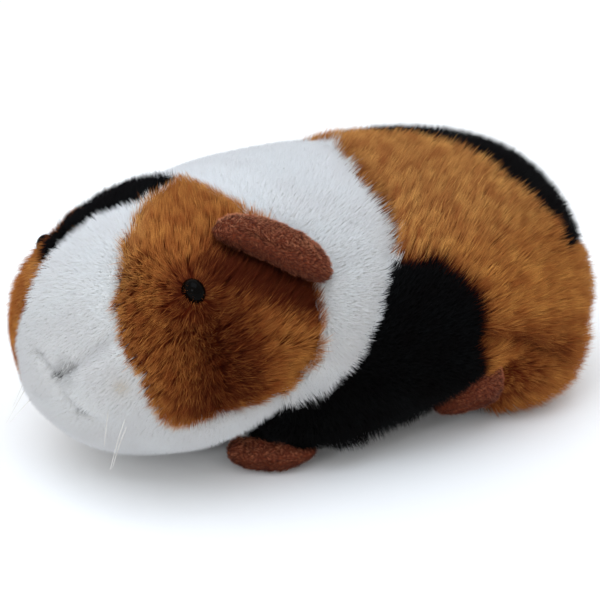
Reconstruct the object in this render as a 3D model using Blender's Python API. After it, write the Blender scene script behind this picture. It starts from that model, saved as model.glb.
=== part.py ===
"""A plush guinea pig toy, lying on its belly with its head turned a little to its left.

Metres, +Z up. The rump is at +Y, the nose points along -Y and the toy's left side is +X. It
rests on Z = 0, under its own middle. The outline is the one that the tips of the pile reach.
Run it with blender --background --python part.py, or from the text editor.
"""

import math

import bmesh
import bpy
from mathutils import Euler, Matrix, Vector

# Driving dimensions
TRUNK_WIDTH = 0.124
TRUNK_LENGTH = 0.186
TRUNK_TOP = 0.0975  # height of the shoulders over the floor
BELLY_RISE = 0.043  # height of the trunk's widest level over the floor
HEAD_WIDTH = 0.108
HEAD_LENGTH = 0.1055
HEAD_HEIGHT = 0.091
HEAD_TURN = math.radians(16)  # to the toy's left
HEAD_TILT = math.radians(-5)  # the crown leans to the toy's right
NOSE_DOWN = math.radians(5)
EAR_LENGTH = 0.0415
EYE_DIAMETER = 0.009
FORELEG_THICK = (0.026, 0.030)  # across and upwards
FOREPAW_THICK = (0.017, 0.0124)
HAUNCH_THICK = (0.042, 0.042)
HINDFOOT_THICK = (0.012, 0.0135)
GAP = 0.0003  # clearance where one piece is sewn against the next

TRUNK_CENTRE = Vector((0.0, 0.0171, BELLY_RISE))
HEAD_CENTRE = Vector((0.002, -0.0554, 0.050))
LEFT, RIGHT = 1, -1


def material(name, colour, roughness):
    """A Principled material with one colour."""
    made = bpy.data.materials.new(name)
    made.use_nodes = True
    shader = made.node_tree.nodes["Principled BSDF"]
    shader.inputs["Base Color"].default_value = (*colour, 1.0)
    shader.inputs["Roughness"].default_value = roughness
    made.diffuse_color = (*colour, 1.0)
    return made


def egg(unit, half, around=2.2, along=2.2, taper=0.0):
    """A point of a plump ellipsoid about the Y axis. The -Y end is narrower by taper."""
    x, y, z = unit
    ring = math.hypot(x, z)
    reach = (ring ** along + abs(y) ** along) ** (-1.0 / along)
    corner = 1.0
    if ring > 1e-9:
        corner = (abs(x / ring) ** around + abs(z / ring) ** around) ** (-1.0 / around)
    narrow = reach * corner * (1.0 + taper * y)
    return Vector((x * half[0] * narrow, y * half[1] * reach, z * half[2] * narrow))


def ramp(start, end, value):
    """A smooth step from 0 at start to 1 at end."""
    share = min(max((value - start) / (end - start), 0.0), 1.0)
    return share * share * (3.0 - 2.0 * share)


def swell(point, centre, reach):
    """1 at the centre of a soft bump, fading to 0 beyond its reach."""
    return math.exp(-(point - Vector(centre)).length_squared / reach ** 2)


def on_floor(point, level=0.0):
    """Flattens what would reach below the floor."""
    return Vector((point.x, point.y, max(point.z, level)))


def head_place(point):
    """Carries a point from the head's own frame, nose along -Y, to the toy's."""
    turned = Vector(point)
    turned.rotate(Euler((NOSE_DOWN, HEAD_TILT, HEAD_TURN)))
    return turned + HEAD_CENTRE


def stuffed(name, shape, slot, segments=32, rings=20, side=LEFT, group=None):
    """An object from a UV sphere, with its poles along Y, whose points shape() moves.

    Its origin is in its own middle. A shape for the right side mirrors its points, so its
    faces are turned back.
    """
    form = bmesh.new()
    bmesh.ops.create_uvsphere(form, u_segments=segments, v_segments=rings, radius=1.0)
    bmesh.ops.rotate(form, verts=form.verts, matrix=Matrix.Rotation(math.pi / 2, 3, "X"))
    for vertex in form.verts:
        vertex.co = shape(vertex.co.normalized())
    if side == RIGHT:
        bmesh.ops.reverse_faces(form, faces=form.faces)
    middle = sum((vertex.co for vertex in form.verts), Vector()) / len(form.verts)
    bmesh.ops.translate(form, verts=form.verts, vec=-middle)
    mesh = bpy.data.meshes.new(name)
    form.to_mesh(mesh)
    form.free()
    mesh.materials.append(slot)
    mesh.shade_smooth()
    made = bpy.data.objects.new(name, mesh)
    made.location = middle
    (group or toy).objects.link(made)
    return made


def as_cutter(item):
    """Hides a cutter from the render."""
    item.hide_render = True
    item.display_type = "WIRE"
    return item


def grown(original):
    """A cutter: a copy of an object, larger by the sewing gap all round."""
    copy = original.copy()
    copy.data = original.data.copy()
    copy.name = original.name + "_pocket"
    copy.modifiers.clear()
    cutters.objects.link(copy)
    form = bmesh.new()
    form.from_mesh(copy.data)
    form.normal_update()
    for vertex in form.verts:
        vertex.co += vertex.normal * GAP
    form.to_mesh(copy.data)
    form.free()
    return as_cutter(copy)


def block(name, point, normal, over=0.0):
    """A cutter: a cube that fills the space on the normal's side of a plane, and over it."""
    size = 0.4
    form = bmesh.new()
    bmesh.ops.create_cube(form, size=size)
    mesh = bpy.data.meshes.new(name)
    form.to_mesh(mesh)
    form.free()
    made = bpy.data.objects.new(name, mesh)
    cutters.objects.link(made)
    facing = Vector(normal).normalized()
    made.rotation_euler = facing.to_track_quat("Z", "Y").to_euler()
    made.location = Vector(point) + facing * (size / 2 - over)
    return as_cutter(made)


def boolean(target, operation, tool):
    """One exact Boolean."""
    step = target.modifiers.new(operation.lower() + "_" + tool.name, "BOOLEAN")
    step.operation = operation
    step.solver = "EXACT"
    step.object = tool


for leftover in list(bpy.data.objects):
    bpy.data.objects.remove(leftover)

toy = bpy.data.collections.new("plush_guinea_pig")
cutters = bpy.data.collections.new("cutters")
for group in (toy, cutters):
    bpy.context.scene.collection.children.link(group)

WHITE = material("white_plush", (0.86, 0.85, 0.80), 0.9)
GINGER = material("ginger_plush", (0.42, 0.18, 0.04), 0.9)
BLACK = material("black_plush", (0.02, 0.02, 0.022), 0.9)
BROWN = material("brown_velour", (0.20, 0.06, 0.03), 0.85)
EYE = material("eye_plastic", (0.01, 0.008, 0.006), 0.1)


# Body forms: the head and the trunk before the seams part them
def head_shape(unit):
    half = (HEAD_WIDTH / 2, HEAD_LENGTH / 2, HEAD_HEIGHT / 2)
    blunt = 2.5 if unit.y < 0 else 2.2
    point = egg(unit, half, 2.2, blunt, 0.10)
    for side in (LEFT, RIGHT):  # the muzzle's pads, with the crease between them
        point.y -= 0.0024 * swell(point, (0.013 * side, -0.050, -0.009), 0.011)
    point.y -= 0.0012 * swell(point, (0.0, -0.047, -0.026), 0.010)  # chin
    point.y += 0.0012 * swell(point, (0.0, -0.050, 0.016), 0.014)  # bridge of the nose
    return on_floor(head_place(point), 0.004)


def trunk_shape(unit):
    deep = TRUNK_TOP - BELLY_RISE if unit.z > 0 else BELLY_RISE + 0.0025
    around = 2.25 if unit.z > 0 else 1.95
    along = 4.0 if unit.y < 0 else 2.4
    point = egg(unit, (TRUNK_WIDTH / 2, TRUNK_LENGTH / 2, deep), around, along)
    point.x *= (1.0 - 0.06 * unit.z) * (1.0 + 0.05 * unit.y)
    point.z *= 1.0 - 0.05 * unit.y
    point += TRUNK_CENTRE
    hollow = ramp(0.010, -0.043, point.y) * ramp(0.062, 0.0, point.z)  # chest over the forelegs
    point.x *= 1.0 - 0.42 * hollow
    point.z += 0.012 * hollow
    return on_floor(point)


head_form = as_cutter(stuffed("head_form", head_shape, WHITE, 30, 20, group=cutters))
trunk_form = as_cutter(stuffed("trunk_form", trunk_shape, GINGER, 32, 22, group=cutters))

# Seam planes: behind the cheeks, and from the back down to the front of the forelegs
HEAD_SEAM = head_place((0.0, 0.0145, 0.0))
HEAD_SEAM_FACING = Vector((math.sin(HEAD_TURN), -math.cos(HEAD_TURN), 0.12))
TRUNK_SEAM = Vector((0.0, -0.0024, 0.068))
TRUNK_SEAM_FACING = Vector((0.0, 1.0, -0.58))
ahead = block("ahead_of_head_seam", HEAD_SEAM, HEAD_SEAM_FACING)
behind = block("behind_trunk_seam", TRUNK_SEAM, TRUNK_SEAM_FACING)


# Ears: folded petals that droop back over the cheeks, the right one lower, behind the crown
EAR_ENDS = {LEFT: ((0.0322, -0.0002, 0.0393), (0.0572, 0.0188, 0.0215)),
            RIGHT: ((0.0415, -0.0020, 0.0290), (0.0545, 0.0180, 0.0000))}


def ear(side, name):
    root, tip = (Vector(end) for end in EAR_ENDS[side])
    lie = (tip - root).to_track_quat("Y", "Z")

    def shape(unit):
        point = egg(unit, (0.0062, EAR_LENGTH / 2, 0.0066), 2.3, 2.4, -0.12)
        point.z += 0.0035 * (1.0 - unit.y ** 2)
        point.rotate(lie)
        point += (root + tip) / 2
        return head_place((point.x * side, point.y, point.z))
    return stuffed(name, shape, BROWN, 14, 10, side)


ear_left = ear(LEFT, "ear_left")
ear_right = ear(RIGHT, "ear_right")


# Eyes: glossy beads, half sunk in the pile
EYE_PLACE = Vector((0.0385, -0.0198, 0.0272))


def eye(side, name):
    centre = head_place((EYE_PLACE.x * side, EYE_PLACE.y, EYE_PLACE.z))
    return stuffed(name, lambda unit: unit * (EYE_DIAMETER / 2) + centre, EYE, 12, 8)


eye_left = eye(LEFT, "eye_left")
eye_right = eye(RIGHT, "eye_right")


# Limbs: each is an egg laid between its two ends, the same on both sides
def limb(name, side, ends, thick, slot, segments, rings):
    start, end = (Vector(point) for point in ends)
    lie = (end - start).to_track_quat("Y", "Z")
    half = (thick[0] / 2, (end - start).length / 2, thick[1] / 2)

    def shape(unit):
        point = egg(unit, half, 2.2, 2.4)
        point.rotate(lie)
        point += (start + end) / 2
        point.x *= side
        return on_floor(point)
    return stuffed(name, shape, slot, segments, rings, side)


def foreleg(side, name):
    ends = (0.036, -0.0414, 0.0125), (0.048, 0.0356, 0.033)
    return limb(name, side, ends, FORELEG_THICK, BLACK, 20, 14)


def forepaw(side, name):
    ends = (0.0245, -0.0459, 0.0058), (0.042, -0.0204, 0.0062)
    return limb(name, side, ends, FOREPAW_THICK, BROWN, 14, 10)


def haunch(side, name):
    ends = (0.036, 0.0356, 0.0185), (0.036, 0.0936, 0.0225)
    return limb(name, side, ends, HAUNCH_THICK, GINGER, 20, 14)


def hindfoot(side, name):
    ends = (0.0385, 0.0281, 0.0095), (0.052, 0.0516, 0.0225)
    return limb(name, side, ends, HINDFOOT_THICK, BROWN, 14, 10)


foreleg_left = foreleg(LEFT, "foreleg_left")
foreleg_right = foreleg(RIGHT, "foreleg_right")
forepaw_left = forepaw(LEFT, "forepaw_left")
forepaw_right = forepaw(RIGHT, "forepaw_right")
haunch_left = haunch(LEFT, "haunch_left")
haunch_right = haunch(RIGHT, "haunch_right")
hindfoot_left = hindfoot(LEFT, "hindfoot_left")
hindfoot_right = hindfoot(RIGHT, "hindfoot_right")

# Head, neck and trunk: the body forms with pockets for what is sewn in, parted at the seams
for paw, leg in ((forepaw_left, foreleg_left), (forepaw_right, foreleg_right),
                 (hindfoot_left, haunch_left), (hindfoot_right, haunch_right)):
    boolean(leg, "DIFFERENCE", grown(paw))
boolean(haunch_left, "DIFFERENCE", grown(foreleg_left))
boolean(haunch_right, "DIFFERENCE", grown(foreleg_right))
SEWN_IN = (foreleg_left, foreleg_right, haunch_left, haunch_right, ear_left, ear_right,
           forepaw_left, forepaw_right, hindfoot_left, hindfoot_right, eye_left, eye_right)

head = stuffed("head", head_shape, WHITE, 30, 20)
boolean(head, "UNION", trunk_form)
neck = stuffed("neck", trunk_shape, WHITE, 32, 22)
boolean(neck, "UNION", head_form)
trunk = stuffed("trunk", trunk_shape, GINGER, 32, 22)
boolean(trunk, "UNION", head_form)
for piece in (head, neck, trunk):
    for item in SEWN_IN:
        boolean(piece, "DIFFERENCE", bpy.data.objects.get(item.name + "_pocket") or grown(item))
boolean(head, "INTERSECT", ahead)
boolean(neck, "DIFFERENCE", block("ahead_of_neck", HEAD_SEAM, HEAD_SEAM_FACING, GAP))
boolean(neck, "DIFFERENCE", block("behind_neck", TRUNK_SEAM, TRUNK_SEAM_FACING, GAP))
boolean(trunk, "INTERSECT", behind)
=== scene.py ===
"""A plush guinea pig toy on a studio floor: sewn skin, combed pile, velour ears and feet, bead eyes."""

import math

import bmesh
import bpy
import numpy as np
from mathutils import Euler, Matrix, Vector, noise
from mathutils.bvhtree import BVHTree


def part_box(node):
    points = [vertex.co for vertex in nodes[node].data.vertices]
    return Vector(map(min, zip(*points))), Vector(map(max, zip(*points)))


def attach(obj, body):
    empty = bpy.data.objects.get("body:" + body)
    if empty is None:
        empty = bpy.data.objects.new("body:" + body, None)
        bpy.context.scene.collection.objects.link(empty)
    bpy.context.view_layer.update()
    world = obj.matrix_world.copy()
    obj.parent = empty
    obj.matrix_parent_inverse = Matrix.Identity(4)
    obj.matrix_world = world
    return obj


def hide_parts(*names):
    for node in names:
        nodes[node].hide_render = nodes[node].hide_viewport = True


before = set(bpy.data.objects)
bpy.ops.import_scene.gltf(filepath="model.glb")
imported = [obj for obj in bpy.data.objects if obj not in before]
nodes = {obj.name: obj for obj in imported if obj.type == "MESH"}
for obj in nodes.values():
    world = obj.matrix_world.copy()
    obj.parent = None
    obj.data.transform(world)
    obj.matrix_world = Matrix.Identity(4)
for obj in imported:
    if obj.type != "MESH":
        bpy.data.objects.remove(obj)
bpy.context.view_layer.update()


# ---------------------------------------------------------------------------------------------
# The stuffed skin: one bag of backing cloth from the head to the haunches, with the feet and the
# eyes set into it. Its stuffing blows it up between two ring seams, one behind the head and one
# behind the white collar.

FLESH = ("head", "neck", "trunk", "foreleg_left", "foreleg_right", "haunch_left", "haunch_right")
FEET = ("forepaw_left", "forepaw_right", "hindfoot_left", "hindfoot_right")
EARS = ("ear_left", "ear_right")
EYES = ("eye_left", "eye_right")
SKIN_MESH = 0.002
SEAM_OVERLAP = 0.0004
SKIN_SMOOTHING = 6

# The head's own axes: its middle lies behind and below the eyes, and its nose dips a little
BETWEEN_EYES = Vector((0.0, -0.0198, 0.0272))
NOSE_DOWN = math.radians(5)
# A place on each ring seam, and the way that the seam faces
HEAD_SEAM = Vector((0.0, 0.0145, 0.0))  # on the head's axes
HEAD_SEAM_RISE = 0.12
TRUNK_SEAM = np.array((0.0, -0.0024, 0.068))
TRUNK_SEAM_FACING = np.array((0.0, 0.865, -0.502))

STUFFING_MESH = 0.005  # the coarse cloth that is blown up in the skin's stead
STUFFING_PRESSURE = 150.0
STUFFING_FRAMES = 20
FREE, HELD = 0.006, 0.003  # how far from a seam or the floor the cloth is free, and is held fast
HEAD_SWELL, BACK_SWELL, RUMP_SWELL = 0.0003, 0.0007, 0.0024  # each comes on top of the one before
POCKET_ROUNDS, TAIL_ROUNDS = 40, 30  # how often the cloth is evened out at the ears and at the tail
# Where the stuffing was pushed in further: the place, its reach and how far it bulges
BULGES = (((0.042, 0.093, 0.032), 0.018, 0.0035), ((-0.008, 0.088, 0.076), 0.028, 0.0024))


def middle(name):
    """The middle of a frame node's box."""
    low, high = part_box(name)
    return (low + high) / 2


across = (middle("eye_left") - middle("eye_right")).normalized()
head_turn = math.atan2(across.y, across.x)
HEAD_LIE = Euler((NOSE_DOWN, -math.asin(across.z), head_turn)).to_matrix()
HEAD_CENTRE = (middle("eye_left") + middle("eye_right")) / 2 - HEAD_LIE @ BETWEEN_EYES
HEAD_SEAM_FACING = Vector((math.sin(head_turn), -math.cos(head_turn), HEAD_SEAM_RISE)).normalized()


def placed(name, data):
    """A new object in the scene."""
    made = bpy.data.objects.new(name, data)
    bpy.context.scene.collection.objects.link(made)
    return made


def column(items, name, width):
    """One property of all of a mesh's items as an array."""
    values = np.zeros(len(items) * width)
    items.foreach_get(name, values)
    return values.reshape(-1, width)


def unit(vectors):
    """Vectors scaled to length 1."""
    return vectors / np.maximum(np.linalg.norm(vectors, axis=1, keepdims=True), 1e-9)


def ramp(start, end, values):
    """A smooth step over places or gaps in metres, or over shares: 0 at start and 1 at end."""
    share = np.clip((values - start) / (end - start), 0.0, 1.0)
    return share * share * (3.0 - 2.0 * share)


def mixed(one, other, share):
    """One field changed into another field or number where share is 1."""
    share = share if one.ndim == 1 else share[:, None]
    return one * (1 - share) + other * share


def applied(item):
    """The object with its modifiers worked into its mesh."""
    ready = bpy.data.meshes.new_from_object(item.evaluated_get(bpy.context.evaluated_depsgraph_get()))
    item.modifiers.clear()
    old = item.data
    item.data = ready
    bpy.data.meshes.remove(old)
    ready.name = item.name
    return item


def wrap(item, voxel):
    """Has the piece wrapped in one even closed mesh."""
    cover = item.modifiers.new("wrap", "REMESH")
    cover.mode = "VOXEL"
    cover.voxel_size = voxel


def largest_shell(form):
    """Deletes what a remesh leaves closed off inside the outer shell."""
    left = set(form.verts)
    shells = []
    while left:
        front = {left.pop()}
        shell = set(front)
        while front:
            front = {edge.other_vert(vertex) for vertex in front for edge in vertex.link_edges} & left
            left -= front
            shell |= front
        shells.append(shell)
    shells.sort(key=len)
    bmesh.ops.delete(form, geom=[vertex for shell in shells[:-1] for vertex in shell], context="VERTS")


def remeshed(name, sources, voxel, grow, smoothing):
    """One closed mesh round copies of frame nodes, each first made larger all round by grow."""
    whole = bmesh.new()
    for source in sources:
        part = bmesh.new()
        part.from_mesh(nodes[source].data)
        bmesh.ops.remove_doubles(part, verts=part.verts, dist=1e-6)
        part.normal_update()
        for vertex in part.verts:
            vertex.co += vertex.normal * grow
        copy = bpy.data.meshes.new(source + "_copy")
        part.to_mesh(copy)
        part.free()
        whole.from_mesh(copy)
        bpy.data.meshes.remove(copy)
    mesh = bpy.data.meshes.new(name)
    whole.to_mesh(mesh)
    whole.free()
    made = placed(name, mesh)
    wrap(made, voxel)
    soften = made.modifiers.new("soften", "SMOOTH")
    soften.factor = 0.5
    soften.iterations = smoothing
    applied(made)
    form = bmesh.new()
    form.from_mesh(made.data)
    largest_shell(form)
    form.to_mesh(made.data)
    form.free()
    made.data.shade_smooth()
    return made


def ahead_of_head_seam(points):
    """How far points lie before the ring seam behind the head."""
    return (points - np.array(HEAD_CENTRE + HEAD_LIE @ HEAD_SEAM)) @ np.array(HEAD_SEAM_FACING)


def behind_trunk_seam(points):
    """How far points lie behind the ring seam between the collar and the trunk."""
    return (points - TRUNK_SEAM) @ TRUNK_SEAM_FACING


def held_at_seams(points):
    """How firmly each point is held: fully in the two ring seams and where the toy stands."""
    gaps = (np.abs(ahead_of_head_seam(points)), np.abs(behind_trunk_seam(points)), points[:, 2])
    return np.maximum.reduce([ramp(FREE, HELD, gap) for gap in gaps])


def most_swell(points):
    """The most that each point may move: little in the head, more in the back and the rump."""
    rear = BACK_SWELL + RUMP_SWELL * ramp(0.030, 0.075, points[:, 1])
    return HEAD_SWELL + rear * ramp(0.0, 0.015, behind_trunk_seam(points)) * ramp(0.035, 0.065, points[:, 2])


def stuffed(item):
    """Blows a coarse copy up as sewn cloth, and gives how far each point of the item moves with it."""
    copy = placed(item.name + "_stuffing", item.data.copy())
    wrap(copy, STUFFING_MESH)
    applied(copy)
    start = column(copy.data.vertices, "co", 3)
    pins = copy.vertex_groups.new(name="held")
    for index, weight in enumerate(held_at_seams(start)):
        pins.add([index], float(weight), "REPLACE")
    cloth = copy.modifiers.new("stuffing", "CLOTH")
    cloth.settings.quality = 6
    cloth.settings.mass = 0.01
    cloth.settings.tension_stiffness = 0.1
    cloth.settings.compression_stiffness = 0.1
    cloth.settings.bending_stiffness = 0.02
    cloth.settings.use_pressure = True
    cloth.settings.uniform_pressure_force = STUFFING_PRESSURE
    cloth.settings.vertex_group_mass = "held"
    cloth.settings.effector_weights.gravity = 0
    cloth.collision_settings.use_collision = False
    cloth.point_cache.frame_start = 1
    cloth.point_cache.frame_end = STUFFING_FRAMES
    for number in range(1, STUFFING_FRAMES + 1):
        bpy.context.scene.frame_set(number)
    blown = copy.evaluated_get(bpy.context.evaluated_depsgraph_get()).to_mesh()
    moved = column(blown.vertices, "co", 3) - start
    bpy.context.scene.frame_set(1)
    corners = [face.vertices[:] for face in copy.data.polygons]
    tree = BVHTree.FromPolygons([Vector(point) for point in start], corners)
    points = column(item.data.vertices, "co", 3)
    shift = np.zeros_like(points)
    for index, point in enumerate(points):
        place, _, face, _ = tree.find_nearest(point)
        near = list(corners[face])
        weight = 1.0 / (np.linalg.norm(start[near] - np.array(place), axis=1) + 1e-5)
        shift[index] = weight @ moved[near] / weight.sum()
    bpy.data.objects.remove(copy)
    size = np.linalg.norm(shift, axis=1, keepdims=True)
    return shift * np.minimum(1.0, most_swell(points)[:, None] / np.maximum(size, 1e-9))


skin = remeshed("skin", FLESH + FEET + EYES, SKIN_MESH, SEAM_OVERLAP, SKIN_SMOOTHING)
outer = column(skin.data.vertices, "co", 3)
outer = outer + stuffed(skin)
normal = column(skin.data.vertices, "normal", 3)
edges = column(skin.data.edges, "vertices", 2).astype(int)
head_points = (outer - np.array(HEAD_CENTRE)) @ np.array(HEAD_LIE)


def spread(values, rounds):
    """Values evened out between neighbouring points of the skin."""
    links = np.bincount(edges.ravel(), minlength=len(outer)).reshape((-1,) + (1,) * (values.ndim - 1))
    for _ in range(rounds):
        total = np.zeros_like(values)
        np.add.at(total, edges[:, 0], values[edges[:, 1]])
        np.add.at(total, edges[:, 1], values[edges[:, 0]])
        values = (values + total / links) / 2
    return values


def nearest_on(name):
    """The nearest place on a frame node to each point of the skin."""
    mesh = nodes[name].data
    mesh.calc_loop_triangles()
    tree = BVHTree.FromPolygons([v.co for v in mesh.vertices], [t.vertices for t in mesh.loop_triangles])
    return np.array([tree.find_nearest(point)[0] for point in outer])


def away_from(name):
    """How far each point of the skin is from a frame node."""
    return np.linalg.norm(outer - nearest_on(name), axis=1)


# The pocket that each ear is sewn into is filled, and the skin under the ear is marked
ear_gap = np.minimum(away_from("ear_left"), away_from("ear_right"))
ear_height = np.where(outer[:, 0] > 0, nearest_on("ear_left")[:, 2], nearest_on("ear_right")[:, 2])
under_ear = ramp(0.20, 0.55, (ear_height - outer[:, 2]) / (ear_gap + 0.0003))
outer = mixed(outer, spread(outer, POCKET_ROUNDS), ramp(0.004, 0.001, ear_gap))
# Stuffing rounds off the fold between the rump and the haunches at the tail end
at_tail = ramp(0.074, 0.092, outer[:, 1]) * ramp(0.070, 0.055, outer[:, 2])
outer = mixed(outer, spread(outer, TAIL_ROUNDS), at_tail)
for place, reach, height in BULGES:
    bulge = np.exp(-((np.linalg.norm(outer - np.array(place), axis=1) / reach) ** 2))
    outer = outer + normal * height * bulge[:, None]
skin.data.vertices.foreach_set("co", outer.ravel())
skin.data.update()
normal = column(skin.data.vertices, "normal", 3)

# Where each point of the skin lies: on the toy's axes, on the head's, and from the other pieces
x, y, z = outer.T
hx, hy, hz = head_points.T
ahead = ahead_of_head_seam(outer)
behind = behind_trunk_seam(outer)
leg = np.minimum(away_from("foreleg_left"), away_from("foreleg_right"))
hip = np.minimum(away_from("haunch_left"), away_from("haunch_right"))
hip_crease = np.maximum(hip, away_from("trunk"))
from_feet = [outer - nearest_on(name) for name in FEET]
foot_gaps = np.array([np.linalg.norm(gap, axis=1) for gap in from_feet])
foot_gap = foot_gaps.min(axis=0)
foot_way = np.array(from_feet)[foot_gaps.argmin(axis=0), np.arange(len(outer))]
from_eyes = [outer - np.array(middle(name)) for name in EYES]
eye_gaps = [np.linalg.norm(gap, axis=1) for gap in from_eyes]
eye_gap = np.minimum(*eye_gaps)
eye_way = np.where((eye_gaps[0] < eye_gaps[1])[:, None], *from_eyes)


# ---------------------------------------------------------------------------------------------
# The panels: white, ginger and black plush, cut to shape and sewn edge to edge. Each panel is a
# field over the skin, positive inside the panel and growing away from its edge. Ginger is what
# the other two leave.

# The white blaze's edges at heights on the head, from its midline to the left and to the right
BLAZE_HEIGHTS = (-0.030, -0.018, 0.006, 0.020, 0.035, 0.043, 0.047)
BLAZE_LEFT = (0.046, 0.038, 0.0348, 0.0272, 0.0180, 0.0080, -0.006)
BLAZE_RIGHT = (0.031, 0.026, 0.0237, 0.0180, 0.0172, 0.0130, 0.000)
MUZZLE_FLARE, MUZZLE_START = 0.45, 0.002  # how the left edge flares out over the muzzle
CHEEK_LOW, CHEEK_LOW_SLOPE = -0.0225, 0.12
CHEEK_MARGIN, CROWN_MARGIN = 0.003, 0.0035  # the white left before the head's seam, more at the crown
BROW = 0.033  # the right side of the head is black above this height and ginger below it
BROW_OVERLAP, BROW_MARGIN = 0.0015, 0.001
# The black of the back: its front edge crosses the spine aslant, and its lower edge runs along
# the flanks. The front edge sweeps back on the left, and all is trimmed a little in front
BACK_FACING, BACK_START = (-0.579, 0.815, -0.259), 0.0132
BACK_LOW, BACK_LOW_SLOPE = 0.044, 0.2
BACK_SWEEP, BACK_TRIM = 0.0085, 0.0015
FLANK = np.array((0.062, 0.005, 0.049))  # the middle of the black patch behind the left cheek
FLANK_REACH = 0.0295
CHEST = 0.040  # below this height the front of the body is black as far back as the forelegs
CHEST_REACH, CHEST_SLOPE = 0.033, 0.4
BELLY, BELLY_HALF_WIDTH = 0.014, 0.030  # the white panel underneath
# How much further the black reaches round the forepaws, at the right of the trunk's seam, and
# over the forelegs, at their tops and lower down
PAW_BLACK, RIGHT_BLACK, LEG_BLACK, LOW_LEG_BLACK = 0.006, 0.005, 0.0015, 0.004
# How far behind the ring seam the collar ends, at places across the back, and how much further
# it is laid where the black lies over it, so that no ginger is left between the two
COLLAR_PLACES = (-0.030, -0.018, -0.003, 0.009, 0.026, 0.039, 0.050)
COLLAR_SHIFTS = (0.002, 0.0044, -0.0014, -0.0048, -0.0046, -0.0011, 0.0)
COLLAR_OVER_BLACK = 0.0055
PANEL_EDGE = 0.003  # over this width the fibres of two panels mingle
WANDER, WANDER_WAVES = 0.0016, 130.0  # how far a panel's edge strays, and its waves per metre

wander = np.array([noise.noise(Vector(point) * WANDER_WAVES) for point in outer]) * WANDER
blaze = np.maximum(np.interp(hz, BLAZE_HEIGHTS, BLAZE_LEFT), -MUZZLE_FLARE * hy - MUZZLE_START)
blaze = np.where(hx < 0, np.interp(hz, BLAZE_HEIGHTS, BLAZE_RIGHT), blaze)
cheek = np.minimum.reduce([ahead - CHEEK_MARGIN - CROWN_MARGIN * ramp(0.022, 0.040, hz),
                           np.abs(hx) - blaze, hz - CHEEK_LOW + CHEEK_LOW_SLOPE * hy])
brow = np.minimum.reduce([cheek + BROW_OVERLAP, -hx - BROW_MARGIN, hz - BROW])
over_spine = sum(share * places for share, places in zip(BACK_FACING, (x, y, z))) - BACK_START
back = np.minimum(over_spine, z - BACK_LOW - BACK_LOW_SLOPE * x)
back -= BACK_SWEEP * ramp(0.088, 0.068, z) * ramp(0.0, 0.02, x) + BACK_TRIM * ramp(0.05, 0.030, y)
flank = FLANK_REACH - np.linalg.norm(outer - FLANK, axis=1)
chest = np.minimum.reduce([CHEST - z, CHEST_REACH + CHEST_SLOPE * (CHEST - z) - y,
                           np.abs(x) - BELLY_HALF_WIDTH])
side = np.maximum.reduce([back, flank, chest])
side = side + PAW_BLACK * ramp(0.014, 0.006, foot_gap) * ramp(0.040, 0.030, y)
side = side + RIGHT_BLACK * ramp(-0.028, -0.038, x) * ramp(0.024, 0.014, behind)
on_forelegs = LEG_BLACK + LOW_LEG_BLACK * ramp(0.030, 0.020, z) - leg
black = np.maximum.reduce([brow, np.minimum(side, behind), on_forelegs])
belly = np.minimum(BELLY - z, BELLY_HALF_WIDTH - np.abs(x))
collar = -behind + np.interp(x, COLLAR_PLACES, COLLAR_SHIFTS) * ramp(0.060, 0.072, z)
collar += COLLAR_OVER_BLACK * ramp(-0.003, 0.001, side)
white = np.minimum(np.maximum(collar, belly), -cheek)

in_cheek = ramp(-0.003, 0.003, cheek)
in_head = ramp(-0.003, 0.003, ahead)
is_black = ramp(-0.001, 0.001, black)
is_white = ramp(-0.001, 0.001, white) * (1 - is_black)


# ---------------------------------------------------------------------------------------------
# The lie of the pile: the plush of each panel is cut to its own length and brushed its own way.
# It leans over from the skin, least where it is short and where the cheek's pile parts.

# Which way the pile lies: to the left, back and up, before it is laid along the skin
BODY_WAY, RUMP_WAY, COLLAR_WAY = (0.0, 0.45, 0.90), (0.0, 0.95, 0.15), (0.0, 1.0, -0.2)
HIP_WAY, LEG_WAY = (0.0, 1.0, -0.35), (0.0, 0.5, -0.9)
FALLING_WAY = (0.0, 0.3, -1.0)  # over the tail end, and at the belly's edge down to the floor
# The same on the head's own axes: each cheek's pile parts along an upright line through the eye
FACE_WAY = (0.0, -1.0, -0.1)
CHEEK_FORE, CHEEK_AFT, CHEEK_UP = (0.0, -1.0, -0.35), (0.0, 0.75, 0.63), (0.0, 0.1, 1.0)
CHEEK_PARTING, PARTING_SLOPE = -0.0215, 0.08
COMB_ROUNDS = 4
# The pile's length
GINGER_PILE, BACK_PILE, CHEEK_PILE, HANGING_PILE = 0.0095, 0.0072, 0.0085, 0.0085
WHITE_PILE, BLACK_PILE, LEG_PILE, MUZZLE_PILE, EYE_PILE = 0.0044, 0.0048, 0.0044, 0.0038, 0.0040
PILE_AT_FEET = 0.32  # the share of its length that it is cut to where a foot is sewn on
# How far it leans over from upright, in radians
GINGER_LEAN, WHITE_LEAN, BLACK_LEAN, EYE_LEAN = 0.80, 0.38, 0.55, 0.7
PARTING_LEAN, COMBED_LEAN = 0.25, 0.55  # at the cheek's parting, and what is added away from it
EYE_COMBED = 0.6  # how far the pile round an eye is combed away from it


def along_skin(vectors):
    """The part of each vector that lies in the skin's surface, at length 1."""
    vectors = np.broadcast_to(vectors, outer.shape)
    return unit(vectors - normal * np.sum(vectors * normal, axis=1, keepdims=True))


def head_way(vector):
    """A direction on the head's axes, laid along the skin."""
    return along_skin(np.array(HEAD_LIE @ Vector(vector)))


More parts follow.
